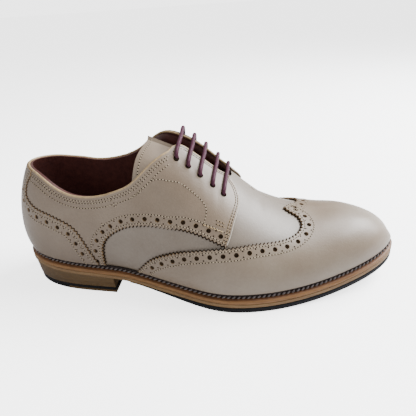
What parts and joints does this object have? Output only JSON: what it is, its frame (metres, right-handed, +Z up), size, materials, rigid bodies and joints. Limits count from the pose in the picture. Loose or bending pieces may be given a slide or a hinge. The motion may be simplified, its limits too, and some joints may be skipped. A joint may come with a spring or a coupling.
{
  "type": "brogue shoe",
  "caption": "Right derby shoe with a wing-tip cap, shaped quarters, lace bars over the facings, a welt with storm rand, a stacked heel and a rubber forepart sole.",
  "frame": {"origin": "on the floor, under the middle of the shoe's box", "axes": "+X from heel to toe, +Y towards the inner side of the foot, +Z up"},
  "size_m": [0.3052, 0.1092, 0.1236],
  "materials": {
    "upper_leather": "smooth stone-coloured calf, lightly burnished",
    "lining_leather": "dark brown lining leather",
    "rand_leather": "near-black welt strip with grey stitches",
    "welt_leather": "tan welt with a paler cut edge",
    "sole_leather": "light brown cut edge",
    "stack_leather": "brown stacked leather, polished edge",
    "sole_rubber": "matt black",
    "lace_cord": "round waxed plum cord"
  },
  "bodies": {
    "root": {"upper": "upper_leather", "wing_cap": "upper_leather", "heel_counter": "upper_leather", "quarter_lateral": "upper_leather", "quarter_medial": "upper_leather", "tongue": "upper_leather", "insole": "lining_leather", "rand": "rand_leather", "welt": "welt_leather", "midsole": "sole_leather", "outsole_rubber": "sole_rubber", "heel_block": "stack_leather", "heel_rubber": "sole_rubber", "heel_tip_rear": "sole_rubber", "heel_tip_front": "stack_leather", "lace_bar_1": "lace_cord", "lace_bar_2": "lace_cord", "lace_bar_3": "lace_cord", "lace_bar_4": "lace_cord", "lace_bar_5": "lace_cord"}
  },
  "joints": []
}
